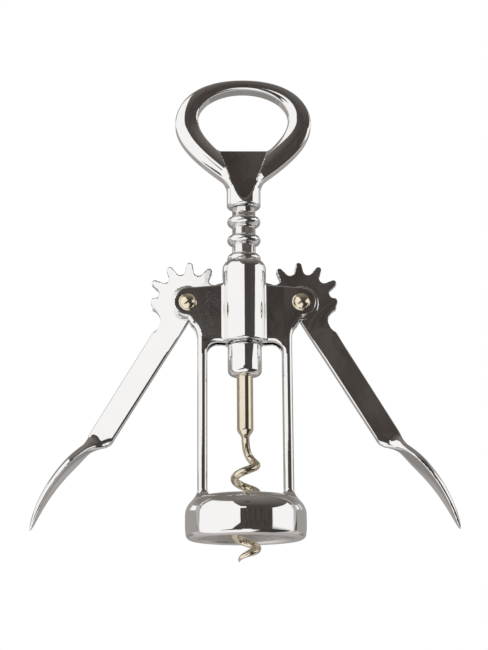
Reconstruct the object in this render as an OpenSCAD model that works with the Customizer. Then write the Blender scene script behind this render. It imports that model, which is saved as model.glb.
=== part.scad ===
// Lever corkscrew with a cap-lifter handle, at rest with its levers half lowered.
// Millimetres, +Z up along the worm's axis, +X across the levers, -Y to the front.
// The origin is the centre of the bell's rim.

/* [Bell] */
// Outer radius of the bell
bell_r = 20.9; // [18.5:0.1:22]
// Radius of the rim's outer edge at the very bottom
bell_rim_r = 20.4; // [17:0.1:20.4]
// Height of the bell
bell_h = 14.8; // [13.5:0.1:17]
// Radius of the bell's rounded shoulder
bell_shoulder = 6.4; // [4:0.1:6.5]
// Radius of the pocket that takes the bottle's mouth
pocket_r = 16.2; // [14.8:0.1:16.5]
// Depth of the pocket
pocket_h = 9.6; // [7:0.1:11]
// Radius of the hole in the bell's top
throat_r = 10.6; // [9.5:0.1:12]

/* [Legs] */
// Distance from the axis to the middle of a leg
leg_x = 14.9; // [14.4:0.1:15.4]
// Width of a leg across the corkscrew
leg_w = 3.5; // [3:0.1:4.2]
// Depth of a leg from front to back
leg_d = 7; // [6.2:0.1:7.4]
// Radius of the flare where a leg joins the bell
leg_flare = 7; // [4:0.5:8]
// Height of the flare above the bell's top
leg_flare_h = 4.2; // [3:0.1:6]

/* [Barrel] */
// Outer radius of the barrel
barrel_r = 7.8; // [7.6:0.1:8.4]
// How far the barrel's round front and back stand apart
barrel_split = 3; // [2:0.1:4]
// Height of the barrel's lower edge, which is also the web's
barrel_bottom = 68.7; // [67:0.1:70]
// Height of the barrel's top
barrel_top = 99; // [97:0.1:99.2]
// Radius of the barrel's rounded top edge
barrel_round = 3; // [1:0.1:3.4]
// Gap between the rack's rings and the barrel's bore
bore_gap = 0.3; // [0.15:0.01:0.4]

/* [Ears] */
// Distance from the axis to a lever's pivot
pivot_x = 20; // [19.9:0.05:20.2]
// Height of the pivots
pivot_z = 83.2; // [82.8:0.1:83.4]
// Radius of an ear's end about its pivot
ear_r = 5.2; // [5:0.1:5.6]
// Height of an ear's top edge above its pivot
ear_rise = 5.3; // [5.2:0.1:6]
// Height of the web's top edge at the barrel
web_top = 90.2; // [89:0.1:92]
// Thickness of each ear plate
ear_t = 1.85; // [1.5:0.05:2.2]
// Radius of the inside corner between a leg and the web
web_fillet = 3.5; // [2:0.1:4]
// Radius of the hollow under each ear
ear_hollow = 7; // [6:0.1:7.5]
// Drop from the pivot to the middle of that hollow
ear_drop = 12.8; // [12.4:0.1:13.2]
// Height of the floor of the slot that the levers swing in
slot_bottom = 65.6; // [64:0.1:65.8]
// Height of the top of the gear windows in the barrel
slot_top = 93.5; // [92.6:0.1:95]

/* [Rivets] */
// Radius of a rivet's shank
rivet_r = 1.8; // [1.5:0.05:2]
// Radius of a rivet's domed head
rivet_head_r = 3.3; // [2.8:0.1:3.6]
// Height of a rivet's head
rivet_head_h = 2.4; // [1.6:0.1:2.6]
// Radial running gap between a lever's hole and its rivet
rivet_gap = 0.06; // [0.02:0.01:0.1]

/* [Levers] */
// Thickness of a lever's plate
lever_t = 3.7; // [3:0.1:4.2]
// Gap on each side between a lever and the ears
lever_gap = 0.3; // [0.25:0.05:0.5]
// How far the boss round the pivot stands out of a lever's face
boss_h = 0.2; // [0.1:0.01:0.2]
// Radius of that boss
boss_r = 6.2; // [5:0.1:6.6]
// Angle between a lever's arm and straight down, at rest
lever_open = 31.5; // [31:0.1:33]
// Length of the straight arm
arm_len = 56.9; // [52:0.1:59]
// How far the bend's outer corner stands beyond its inner one
bend_skew = 2.2; // [0:0.1:2.6]
// Width of the arm at its gear end
arm_w_root = 8.9; // [8.5:0.1:9.6]
// Width of the arm at the paddle
arm_w_end = 8.3; // [7.6:0.1:8.8]
// Distance from the pivot to the arm's inner edge
arm_inner = 3.68; // [3.5:0.02:4]
// Radius of the hollow between the last tooth and the arm
hollow_r = 4.5; // [4.2:0.1:5]
// Distance of that hollow's middle out from the pivot, at rest
hollow_x = 14.2; // [13.8:0.1:14.8]
// Drop of that hollow's middle below the pivot, at rest
hollow_drop = 6.3; // [6:0.1:6.8]

/* [Gears] */
// Teeth in a full turn of the gear
teeth_per_turn = 12; // [12:1:12]
// Angle of the meshing tooth below the line to the rack, at rest
mesh_drop = 2.4; // [1.6:0.1:3.2]
// Radius of the teeth's tips
tip_r = 15; // [14.7:0.05:15.1]
// Radius of a tooth's rounded tip
tooth_round = 1.05; // [0.95:0.05:1.1]
// Radius of the hollow between two teeth
valley_r = 1.95; // [1.8:0.05:2.05]
// Radius from the pivot to the middle of those hollows
valley_mid = 12.7; // [12.5:0.05:12.9]

/* [Paddles] */
// Radius of the paddle's curve
paddle_r = 54.7; // [48:0.1:62]
// Angle that the paddle curves through
paddle_sweep = 42; // [36:0.5:44]
// Angle between the arm and the paddle's first stretch
paddle_kick = 26.2; // [20:0.1:28]
// Width of the paddle from front to back
paddle_w = 16; // [13:0.1:18]
// Thickness of the paddle at its middle
paddle_t = 3.5; // [2.8:0.1:4.2]

/* [Rack] */
// Distance between two rings of the rack
ring_pitch = 6.9; // [6.85:0.01:6.95]
// Number of rings
ring_count = 7; // [7:1:7]
// Outer radius of the rings
ring_r = 6; // [5.8:0.05:6.1]
// Radius of the rack between the rings
core_r = 4.2; // [4:0.05:4.3]
// Half the width of a ring at its root
ring_half = 1.7; // [1.5:0.05:1.9]
// Height of the rack's lower end
rack_bottom = 68.7; // [68.2:0.1:69.5]
// Height of the rack's upper end
rack_top = 118.9; // [118.6:0.1:119.8]
// Axial play between the rack and what holds it at each end
rack_play = 0.1; // [0.05:0.01:0.2]

/* [Spindle and worm socket] */
// Radius of the spindle that the rack turns on
spindle_r = 2.5; // [2.2:0.05:2.7]
// Radial running gap between the spindle and the rack
spindle_gap = 0.05; // [0.02:0.01:0.1]
// How deep the spindle sits in the handle and in the socket
spindle_grip = 6; // [4.5:0.1:6.4]
// Height of the worm socket's lower end
socket_bottom = 57.1; // [56:0.1:58]
// Radius of the worm socket's rounded lower edge
socket_round = 2; // [1:0.1:2.5]

/* [Worm] */
// Radius of the worm's shank
shank_r = 2.9; // [2.6:0.05:3.1]
// Depth of the shank's seat in the socket
shank_grip = 4.6; // [3.5:0.1:4.8]
// Height where the straight shank ends
shank_end = 37; // [35:0.2:39]
// Radius of the worm's wire
wire_r = 1.4; // [1.2:0.05:1.5]
// Radius of the helix at the middle of the wire
helix_r = 3.8; // [3.4:0.05:4]
// Rise of the helix in one turn
helix_pitch = 9.5; // [9:0.1:10]
// Height of the worm's point
worm_tip = -7.4; // [-9:0.1:-5]
// Height where the helix stands farthest to the right
helix_mark = 25.7; // [24:0.1:27]

/* [Handle] */
// Angle that the handle is turned to at rest
handle_turn = 0; // [-30:1:30]
// Radius of the handle's neck
neck_r = 6.1; // [5.9:0.05:6.15]
// Height where the neck opens into the bow
bow_root = 127.5; // [127:0.1:128.5]
// Height where the bow is widest
bow_mid = 149.8; // [148:0.5:151]
// Height of the bow's top
bow_top = 167.7; // [165:0.1:170]
// Half the bow's outer width
bow_half = 24.4; // [23:0.1:27]
// Radial width of the bow at its sides
bow_w = 7.6; // [6.4:0.1:8]
// Radial width of the bow at its top
bow_w_top = 3.7; // [3.4:0.1:4.6]
// Depth of the bow from front to back
bow_d = 7; // [6:0.1:8]
// Height of the cap lifter's edge
lifter_top = 140.4; // [139:0.1:142]
// Half the width of the cap lifter's edge
lifter_half = 8.7; // [7.5:0.1:9.5]
// Half the width of the cap lifter's flat where it leaves the neck
lifter_waist = 4.9; // [4.4:0.1:5.6]
// Thickness of the cap lifter's edge
lifter_t = 3.2; // [2.5:0.1:3.6]
// How far below the bow's root the cap lifter's flat runs out
lifter_run = 7; // [6.4:0.1:7.2]

/* [Hidden] */
$fn = 96;
eps = 0.01;
lever_half = lever_t / 2;
slot_half = lever_half + lever_gap;
web_half = slot_half + ear_t;
bore_r = ring_r + bore_gap;
leg_in = leg_x - leg_w / 2;
leg_out = leg_x + leg_w / 2;
tooth_step = 360 / teeth_per_turn;
pitch_r = ring_pitch * teeth_per_turn / (2 * PI);
// the tooth nearest the rack at rest, and the ring gap that it stands in
mesh_tooth = 180 + mesh_drop;
mesh_gap_z = pivot_z + pitch_r * (180 - mesh_tooth) * PI / 180;
first_ring_z = mesh_gap_z + ring_pitch * (ring_count - 2.5);
arm_turn = lever_open - 90;
paddle_steps = 20;
paddle_sides = 16;
worm_sides = 14;
bow_steps = 11;
bow_sides = 16;

// ---- shared shapes ----

// closed tube through rings of points, each ring with the same number of points
module skin(rings) {
    sides = len(rings[0]);
    last = len(rings) - 1;
    points = [for (ring = rings) each ring];
    walls = [for (i = [0:last - 1], j = [0:sides - 1])
        let (a = i * sides + j, b = i * sides + (j + 1) % sides)
        each [[a, b, b + sides], [a, b + sides, a + sides]]];
    first_cap = [for (j = [sides - 1:-1:0]) j];
    last_cap = [for (j = [0:sides - 1]) last * sides + j];
    polyhedron(points = points, faces = concat([first_cap, last_cap], walls), convexity = 8);
}

function unit(v) = v / norm(v);

// point at fraction t of the cubic curve with the control points p
function curve(p, t) = pow(1 - t, 3) * p[0] + 3 * t * pow(1 - t, 2) * p[1]
    + 3 * t * t * (1 - t) * p[2] + pow(t, 3) * p[3];

// cosine with squarer shoulders, for full oval sections
function full_cos(a, power) = sign(cos(a)) * pow(abs(cos(a)), power);
function full_sin(a, power) = sign(sin(a)) * pow(abs(sin(a)), power);

// half section of a round post from z = 0 to h, with rounded edges
module post_section(r, h, round_top, round_low) {
    difference() {
        square([r, h]);
        translate([r - round_top, h - round_top]) square(round_top + eps);
        translate([r - round_low, -eps]) square(round_low + eps);
    }
    translate([r - round_top, h - round_top]) circle(round_top);
    translate([r - round_low, round_low]) circle(round_low);
}

// upright plate from an outline in X and Z, of half thickness t
module upright(t) {
    rotate([90, 0, 0]) linear_extrude(2 * t, center = true) children();
}

// ---- frame: one casting of barrel, ears, legs and bell ----

// the barrel's outside, a round post drawn apart towards the front and the back
module barrel_body() {
    h = barrel_top - barrel_bottom;
    translate([0, 0, barrel_bottom]) {
        for (side = [-1, 1])
            translate([0, side * barrel_split / 2, 0])
                rotate_extrude() post_section(barrel_r, h, barrel_round, 0.8);
        for (side = [0, 1])
            mirror([side, 0, 0]) upright(barrel_split / 2) post_section(barrel_r, h, barrel_round, 0.8);
    }
}

// outline of one side's ear and web, to the right of the axis
module ear_outline() {
    difference() {
        union() {
            polygon([[0, barrel_bottom], [leg_out, barrel_bottom], [leg_out, pivot_z - ear_drop],
                     [pivot_x, pivot_z - ear_r], [pivot_x, pivot_z + ear_rise], [0, web_top]]);
            translate([pivot_x, pivot_z + ear_rise - ear_r]) circle(ear_r);
            translate([pivot_x, pivot_z]) circle(ear_r);
        }
        translate([leg_out + ear_hollow, pivot_z - ear_drop]) circle(ear_hollow);
    }
    // inside corner between the web and the leg
    difference() {
        translate([leg_in - web_fillet, barrel_bottom - web_fillet]) square(web_fillet + eps);
        translate([leg_in - web_fillet, barrel_bottom - web_fillet]) circle(web_fillet);
    }
}

// one leg with its flare on the bell, to the right of the axis
module leg() {
    edge = 1.2;
    low = pocket_h + 1;
    translate([leg_x, 0, low])
        linear_extrude(barrel_bottom + 2 - low)
            for (turn = [0, 1])
                square([leg_w - 2 * edge * turn, leg_d - 2 * edge * (1 - turn)], center = true);
    for (sx = [-1, 1], sy = [-1, 1])
        translate([leg_x + sx * (leg_w / 2 - edge), sy * (leg_d / 2 - edge), low])
            cylinder(r = edge, h = barrel_bottom + 2 - low);
    upright(leg_d / 2 - edge) {
        difference() {
            translate([leg_out - eps, pocket_h + 2])
                square([1.2, bell_h + leg_flare_h - pocket_h - 2]);
            translate([leg_out + leg_flare, bell_h + leg_flare_h]) circle(leg_flare);
        }
    }
}

// half section of the bell's outside
module bell_section() {
    shoulder_z = bell_h - bell_shoulder;
    polygon([[0, 0], [bell_rim_r - 1.2, 0], [bell_rim_r - 0.35, 0.35], [bell_rim_r, 1.2],
             [bell_r, 5], [bell_r, shoulder_z], [bell_r - bell_shoulder, bell_h], [0, bell_h]]);
    translate([bell_r - bell_shoulder, shoulder_z]) circle(bell_shoulder);
}

module frame() {
    color("silver")
    difference() {
        union() {
            barrel_body();
            for (side = [0, 1]) mirror([side, 0, 0]) {
                upright(web_half) ear_outline();
                leg();
            }
            rotate_extrude() bell_section();
        }
        // the rack's bore
        translate([0, 0, barrel_bottom - 1]) cylinder(r = bore_r, h = barrel_top - barrel_bottom + 2);
        // the slot between the ear plates, open through the barrel's sides
        translate([-pivot_x - 2 * ear_r, -slot_half, slot_bottom])
            cube([2 * (pivot_x + 2 * ear_r), 2 * slot_half, slot_top - slot_bottom]);
        // the rivets' holes
        for (side = [-1, 1])
            translate([side * pivot_x, 0, pivot_z]) rotate([90, 0, 0])
                cylinder(r = rivet_r, h = 2 * web_half + 2, center = true);
        // the pocket and the throat of the bell
        translate([0, 0, -1]) cylinder(r = pocket_r, h = pocket_h + 1);
        cylinder(r = throat_r, h = bell_h + 1);
    }
}

// ---- rivets ----

module rivet_shape() {
    dome_r = (rivet_head_r * rivet_head_r + rivet_head_h * rivet_head_h) / (2 * rivet_head_h);
    rotate([90, 0, 0]) cylinder(r = rivet_r, h = 2 * web_half, center = true);
    for (side = [-1, 1])
        rotate([side * 90, 0, 0]) translate([0, 0, web_half])
            rotate_extrude() intersection() {
                translate([0, rivet_head_h - dome_r]) circle(dome_r);
                square([rivet_head_r, rivet_head_h]);
            }
}

module left_rivet() {
    color("khaki") translate([-pivot_x, 0, pivot_z]) rivet_shape();
}

module right_rivet() {
    color("khaki") translate([pivot_x, 0, pivot_z]) rivet_shape();
}

// ---- levers: one casting each of gear, arm and paddle ----
// The outline lies with the arm along +X and the outer side towards +Y.

module gear_outline() {
    first = mesh_tooth - 6 * tooth_step - arm_turn;
    last = mesh_tooth + tooth_step - arm_turn;
    difference() {
        union() {
            intersection() {
                circle(valley_mid);
                polygon([[0, 0], for (a = [first - 18, first + 32, first + 78, first + 124, first + 170,
                                           last + 11]) 2 * valley_mid * [cos(a), sin(a)]]);
            }
            for (k = [1:7]) rotate(first + k * tooth_step) {
                tip_mid = tip_r - tooth_round;
                polygon([[valley_mid - 2, -1.4], [tip_mid, -tooth_round], [tip_mid, tooth_round],
                         [valley_mid - 2, 1.4]]);
                translate([tip_mid, 0]) circle(tooth_round);
            }
            // the short end tooth, which never reaches the rack
            rotate(first) translate([valley_mid - 1.1, 0]) circle(1.5);
        }
        for (k = [0.5:1:7.5]) rotate(first + k * tooth_step) translate([valley_mid, 0]) circle(valley_r);
    }
}

module arm_outline() {
    difference() {
        polygon([[0, -arm_inner], [arm_len - bend_skew / 2, -arm_inner],
                 [arm_len + bend_skew / 2, arm_w_end - arm_inner], [0, arm_w_root - arm_inner]]);
        // the hollow between the last tooth and the arm
        rotate(-arm_turn) translate([hollow_x, -hollow_drop]) circle(hollow_r);
    }
    circle(boss_r - 0.6);
}

// ring of points across the paddle at fraction s of its length
function paddle_ring(s) =
    let (a = paddle_kick - paddle_sweep * s,
         set = min(1, s / 0.14),
         skew = set * a - (1 - set) * atan(bend_skew / arm_w_end),
         mid = [arm_len, arm_w_end / 2 - arm_inner]
            + paddle_r * [sin(paddle_kick) - sin(a), cos(a) - cos(paddle_kick)],
         grow = min(1, s / 0.34),
         end = sqrt(max(0.0004, 1 - pow(s, 7))),
         half_w = lever_half + (paddle_w / 2 - lever_half) * (3 * grow * grow - 2 * pow(grow, 3)),
         taper = 1 - 0.72 * pow(max(0, s - 0.36) / 0.64, 1.25),
         half_t = paddle_t / 2 * (1 - 0.35 * s) + (arm_w_end * 1.02 - paddle_t) / 2 * pow(1 - set, 1.5))
    [for (j = [0:paddle_sides - 1])
        let (b = 360 * (j + 0.5) / paddle_sides,
             up = half_t * end * full_sin(b, 0.55),
             out = half_w * taper * end * full_cos(b, 0.55))
        [mid[0] - up * sin(skew), mid[1] + up * cos(skew), out]];

module lever_shape() {
    difference() {
        union() {
            linear_extrude(lever_t, center = true) {
                gear_outline();
                arm_outline();
            }
            cylinder(r = boss_r, h = lever_t + 2 * boss_h, center = true);
            skin([for (i = [0:paddle_steps]) paddle_ring(i / paddle_steps)]);
        }
        cylinder(r = rivet_r + rivet_gap, h = lever_t + 4, center = true);
    }
}

module right_lever() {
    color("gainsboro") translate([pivot_x, 0, pivot_z]) rotate([90, 0, 0])
        rotate(arm_turn) lever_shape();
}

module left_lever() {
    color("gainsboro") mirror([1, 0, 0]) translate([pivot_x, 0, pivot_z]) rotate([90, 0, 0])
        rotate(arm_turn) lever_shape();
}

// ---- rack: a ringed sleeve that slides in the barrel ----

module rack() {
    bump_h = ring_r - core_r;
    bump_r = (ring_half * ring_half + bump_h * bump_h) / (2 * bump_h);
    color("lightgray")
    rotate_extrude() difference() {
        union() {
            translate([0, rack_bottom + rack_play]) square([core_r, rack_top - rack_bottom - 2 * rack_play]);
            for (k = [0:ring_count - 1])
                translate([0, first_ring_z - k * ring_pitch]) intersection() {
                    translate([ring_r - bump_r, 0]) circle(bump_r);
                    translate([0, -ring_half]) square([ring_r, 2 * ring_half]);
                }
        }
        translate([0, rack_bottom - 1]) square([spindle_r + spindle_gap, rack_top - rack_bottom + 2]);
    }
}

// ---- spindle, worm socket and worm, which turn with the handle ----

module spindle() {
    color("darkgray") translate([0, 0, rack_bottom - spindle_grip])
        cylinder(r = spindle_r, h = rack_top - rack_bottom + 2 * spindle_grip);
}

module worm_socket() {
    color("silver") difference() {
        translate([0, 0, socket_bottom])
            rotate_extrude() post_section(ring_r, rack_bottom - socket_bottom, 1, socket_round);
        translate([0, 0, rack_bottom - spindle_grip]) cylinder(r = spindle_r, h = spindle_grip + 1);
        translate([0, 0, socket_bottom - 1]) cylinder(r = shank_r, h = shank_grip + 1);
    }
}

// ring of points across the worm at height z
function worm_ring(z) =
    let (lead_turn = 85,
         out = min(1, max(0, (shank_end - z) / 9)),
         spiral = helix_r * (out * out * (3 - 2 * out)),
         sharp = min(1, max(0, (z - worm_tip) / 3.4)),
         reach = spiral * (0.6 + 0.4 * min(1, sharp * 1.2)),
         thin = min(1, max(0, (shank_end + 0.5 - z) / 2.2)),
         r = (shank_r + (wire_r - shank_r) * thin) * max(0.08, pow(sharp, 0.35) * min(1, sharp * 3.2)),
         wound = 360 * (z - helix_mark) / helix_pitch,
         // above the mark the wire turns less and less and runs in to the shank
         slack = wound < 0 ? 1 : exp(-wound / lead_turn),
         turn = wound < 0 ? wound : lead_turn * (1 - slack),
         slope = helix_pitch / (2 * PI * max(reach * slack, 0.4)),
         steep = z >= shank_end - 1 ? 90 : atan(slope),
         side = [cos(turn), sin(turn), 0],
         // up across the wire, square to the helix's direction
         up = [sin(turn) * sin(steep), -cos(turn) * sin(steep), cos(steep)])
    [for (j = [0:worm_sides - 1])
        let (b = 360 * j / worm_sides)
        [reach * cos(turn), reach * sin(turn), z] - r * cos(b) * side + r * sin(b) * up];

module worm() {
    top = socket_bottom + shank_grip;
    step = helix_pitch / 14;
    turns = floor((shank_end - worm_tip) / step);
    color("tan")
        skin([worm_ring(top), worm_ring(shank_end + 0.5), worm_ring(shank_end),
              for (i = [1:turns]) worm_ring(shank_end - i * step), worm_ring(worm_tip)]);
}

// ---- handle: one casting of bow, cap lifter and neck ----

// outer and inner edges of the bow's right half, from the root up to the top
bow_out_low = [[neck_r, bow_root + 0.7], [11.5, bow_root + 5], [bow_half, bow_mid - 8.8], [bow_half, bow_mid]];
bow_out_high = [[bow_half, bow_mid], [bow_half, bow_mid + 10.5], [14, bow_top], [0, bow_top]];
bow_in_half = bow_half - bow_w;
bow_in_top = bow_top - bow_w_top;
bow_in_low = [[1, bow_root + 5], [10, bow_root + 13.5], [bow_in_half, bow_mid - 3], [bow_in_half, bow_mid + 3.8]];
bow_in_high = [[bow_in_half, bow_mid + 3.8], [bow_in_half, bow_mid + 10], [10, bow_in_top], [0, bow_in_top]];

// ring of points across the bow between its outer and inner edge
function bow_ring(outer, inner, side) =
    let (mid = (outer + inner) / 2, half = (outer - inner) / 2)
    [for (j = [0:bow_sides - 1])
        let (b = 360 * (j + 0.5) / bow_sides,
             p = mid + half * full_cos(b, 0.75))
        [side * p[0], -bow_d / 2 * full_sin(b, 0.75), p[1]]];

bow_right = [for (i = [0:bow_steps]) bow_ring(curve(bow_out_low, i / bow_steps), curve(bow_in_low, i / bow_steps), 1),
             for (i = [1:bow_steps]) bow_ring(curve(bow_out_high, i / bow_steps), curve(bow_in_high, i / bow_steps), 1)];
bow_left = [for (i = [1:2 * bow_steps]) let (ring = bow_right[2 * bow_steps - i])
    [for (p = ring) [-p[0], p[1], p[2]]]];

module handle() {
    lean = atan((neck_r - lifter_t / 2 + 0.6) / (lifter_top - bow_root + lifter_run));
    front_t = bow_d / 4 - 0.1;
    color("silver") rotate(handle_turn)
    difference() {
        union() {
            skin(concat(bow_right, bow_left));
            translate([0, 0, rack_top])
                rotate_extrude() post_section(neck_r, bow_root + 2.5 - rack_top, 2, 1);
            upright(lifter_t / 2)
                polygon([[neck_r - 1, bow_root - 1], [lifter_half + 3, lifter_top - 4], [lifter_half + 0.8, lifter_top - 0.6],
                         [lifter_half, lifter_top], [-lifter_half, lifter_top], [-lifter_half - 0.8, lifter_top - 0.6],
                         [-lifter_half - 3, lifter_top - 4], [1 - neck_r, bow_root - 1]]);
            // the plate's thicker front, which the sloping flat is cut in
            translate([0, -front_t, 0]) upright(front_t)
                polygon([[0.1 - lifter_waist, bow_root - 1], [lifter_waist - 0.1, bow_root - 1],
                         [lifter_waist - 0.1, bow_root + 2], [lifter_half - 0.9, lifter_top - 2],
                         [0.9 - lifter_half, lifter_top - 2], [0.1 - lifter_waist, bow_root + 2]]);
        }
        // the lifter's sloping flat, which runs out on the neck's front
        translate([0, -neck_r, bow_root - lifter_run]) rotate([-lean, 0, 0])
            upright_cut();
        translate([0, 0, rack_top - 1]) cylinder(r = spindle_r, h = spindle_grip + 1);
    }
}

// what the sloping flat takes away, which widens to the lifter's edge
module upright_cut() {
    h = (lifter_top - bow_root + lifter_run) * 1.06;
    translate([0, -neck_r, 0]) rotate([90, 0, 0])
        linear_extrude(2 * neck_r, center = true)
            polygon([[-lifter_waist, 0], [lifter_waist, 0], [lifter_waist, h * 0.44], [lifter_half, h],
                     [lifter_half, h + 2], [-lifter_half, h + 2], [-lifter_half, h], [-lifter_waist, h * 0.44]]);
}

frame();
left_lever();
right_lever();
left_rivet();
right_rivet();
rack();
spindle();
worm_socket();
worm();
handle();
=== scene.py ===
import math
import bmesh
import bpy
import numpy as np
from mathutils import Euler, Matrix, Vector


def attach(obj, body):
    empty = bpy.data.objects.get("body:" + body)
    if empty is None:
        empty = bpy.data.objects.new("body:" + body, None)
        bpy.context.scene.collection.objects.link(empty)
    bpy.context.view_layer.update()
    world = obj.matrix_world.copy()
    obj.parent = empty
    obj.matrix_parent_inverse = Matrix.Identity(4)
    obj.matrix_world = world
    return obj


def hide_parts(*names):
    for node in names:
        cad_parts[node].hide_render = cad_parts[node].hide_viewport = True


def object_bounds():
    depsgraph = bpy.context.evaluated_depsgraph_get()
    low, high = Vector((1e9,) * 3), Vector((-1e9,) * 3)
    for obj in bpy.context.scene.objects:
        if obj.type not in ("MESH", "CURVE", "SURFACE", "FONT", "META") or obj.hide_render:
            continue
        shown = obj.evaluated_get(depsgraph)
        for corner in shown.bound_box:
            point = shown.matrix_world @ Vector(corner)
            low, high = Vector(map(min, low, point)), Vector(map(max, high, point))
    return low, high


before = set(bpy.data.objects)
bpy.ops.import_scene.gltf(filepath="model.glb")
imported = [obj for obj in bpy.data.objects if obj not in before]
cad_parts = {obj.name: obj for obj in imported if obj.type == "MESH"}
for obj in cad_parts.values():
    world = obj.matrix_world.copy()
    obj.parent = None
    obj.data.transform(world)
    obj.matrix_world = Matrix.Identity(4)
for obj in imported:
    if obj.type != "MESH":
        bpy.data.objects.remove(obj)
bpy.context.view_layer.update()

# ---------------------------------------------------------------------------
# Frame: one zinc casting of barrel, ear plates, legs and bell, chromium plated.
# Everything else hangs on it: the levers on its rivets, the rack in its bore.
# ---------------------------------------------------------------------------

# the pieces are given in millimetres, with X to the right, Y to the back and Z up
MM = 0.001
PIVOT_X, PIVOT_Z = 20.0, 83.2
PIN_HOLE_R = 1.85
BARREL_R, BARREL_FOOT, BARREL_TOP = 7.75, 68.8, 98.9
BORE_R, BORE_FOOT = 6.3, 60
SLOT_HALF, SLOT_FOOT, SLOT_TOP = 2.15, 65.7, 93.4
PLATE_HALF, EAR_R, PLATE_TOP = 3.5, 5.22, 90.15
# middle and radius of the rounded corner between a leg and the web
CORNER_X, CORNER_Z, CORNER_R = 9.65, 65.2, 3.5
# a leg's outer face, its foot inside the bell, and the round top of the hollow beside it
LEG_OUT, LEG_FOOT, HOLLOW_R, HOLLOW_Z = 16.65, 11, 7, 70.4
BELL_R, BELL_H, BELL_ROUND = 20.85, 14.75, 6.4
POCKET_R, POCKET_DEPTH, WORM_WAY_R = 16.3, 9.6, 10.7


def cut(a, b, r):
    """The overlap of two distance fields, with its outer edge rounded to radius r."""
    u, v = np.maximum(a + r, 0), np.maximum(b + r, 0)
    return np.minimum(np.maximum(a, b), -r) + np.hypot(u, v)


def join(a, b, r):
    """The union of two distance fields, with a fillet of radius r where they meet."""
    u, v = np.maximum(r - a, 0), np.maximum(r - b, 0)
    return np.maximum(np.minimum(a, b), r) - np.hypot(u, v)


def ease(t):
    """Smooth step from 0 to 1."""
    t = np.clip(t, 0, 1)
    return t * t * (3 - 2 * t)


def slope(shape, points, h=0.02):
    """Gradient of a distance field at some points."""
    sides = []
    for axis in range(3):
        off = np.zeros(3)
        off[axis] = h
        ahead, behind = points + off, points - off
        sides.append((shape(*ahead.T) - shape(*behind.T)) / (2 * h))
    return np.stack(sides, axis=1)


def settle(shape, points, rounds, reach):
    """Moves points onto the zero surface of a distance field."""
    for _ in range(rounds):
        g = slope(shape, points)
        move = -(shape(*points.T) / np.maximum((g * g).sum(1), 1e-6))[:, None] * g
        size = np.linalg.norm(move, axis=1, keepdims=True)
        points = points + move * np.minimum(1, reach / np.maximum(size, 1e-9))
    return points


def cast(name, shape, low, high, step, place=None):
    """A smooth closed mesh over the zero surface of a distance field given in millimetres."""
    axes = [np.arange(a, b + step, step) for a, b in zip(low, high)]
    size = [len(a) for a in axes]
    field = np.broadcast_to(shape(*np.meshgrid(*axes, indexing="ij", sparse=True)), size)
    inside = field < 0
    cells = [n - 1 for n in size]
    corners = [(i, j, k) for i in (0, 1) for j in (0, 1) for k in (0, 1)]
    # a cell gets a point where some of its corners are inside and some are not
    full = sum(inside[i:i + cells[0], j:j + cells[1], k:k + cells[2]].astype(np.int8) for i, j, k in corners)
    mixed = (full > 0) & (full < 8)
    number = np.full(cells, -1)
    number[mixed] = np.arange(mixed.sum())
    points = np.array(low) + (np.argwhere(mixed) + 0.5) * step

    # each grid edge that the surface crosses gives a face between the four cells round it
    quads = []
    for axis in range(3):
        second, third = (axis + 1) % 3, (axis + 2) % 3
        here, there = [slice(None)] * 3, [slice(None)] * 3
        here[axis], there[axis] = slice(None, -1), slice(1, None)
        before, after = inside[tuple(here)], inside[tuple(there)]
        edge = np.argwhere(before != after)
        leaving = before[tuple(edge.T)]
        ring = []
        for da, db in ((1, 1), (0, 1), (0, 0), (1, 0)):
            cell = edge.copy()
            cell[:, second] -= da
            cell[:, third] -= db
            ring.append(number[tuple(cell.T)])
        ring = np.stack(ring, axis=1)
        quads.append(np.where(leaving[:, None], ring, ring[:, ::-1]))
    quads = np.concatenate(quads)

    # relax the points along the surface, then settle them on it
    starts = quads.ravel()
    ends = np.roll(quads, -1, axis=1).ravel()
    pairs_a, pairs_b = np.concatenate([starts, ends]), np.concatenate([ends, starts])
    touching = np.bincount(pairs_a, minlength=len(points))[:, None]
    points = settle(shape, points, 3, step)
    for _ in range(4):
        total = np.stack([np.bincount(pairs_a, points[pairs_b, i], len(points)) for i in range(3)], axis=1)
        points = settle(shape, points + 0.6 * (total / touching - points), 2, step)
    points = settle(shape, points, 3, step)
    normals = slope(shape, points)
    normals /= np.linalg.norm(normals, axis=1, keepdims=True)

    place = place or Matrix.Identity(4)
    turn = np.array(place.to_3x3())
    mirrored = place.determinant() < 0
    mesh = bpy.data.meshes.new(name)
    mesh.from_pydata((points @ turn.T + np.array(place.translation)) * MM, [],
                     (quads[:, ::-1] if mirrored else quads).tolist())
    mesh.shade_smooth()
    mesh.normals_split_custom_set_from_vertices(normals @ turn.T)
    mesh.update()
    piece = bpy.data.objects.new(name, mesh)
    bpy.context.collection.objects.link(piece)
    return piece


def node(tree, kind, **inputs):
    """A shader or geometry node with constants or links set on its named inputs."""
    made = tree.nodes.new(kind)
    for key, value in inputs.items():
        socket = made.inputs[key.replace("_", " ")]
        if isinstance(value, bpy.types.NodeSocket):
            tree.links.new(value, socket)
        else:
            socket.default_value = value
    return made


def maths(tree, operation, a, b=0.0, c=0.0):
    """The output of one maths node."""
    made = tree.nodes.new("ShaderNodeMath")
    made.operation = operation
    for socket, value in zip(made.inputs, (a, b, c)):
        if isinstance(value, bpy.types.NodeSocket):
            tree.links.new(value, socket)
        else:
            socket.default_value = value
    return made.outputs[0]


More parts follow.
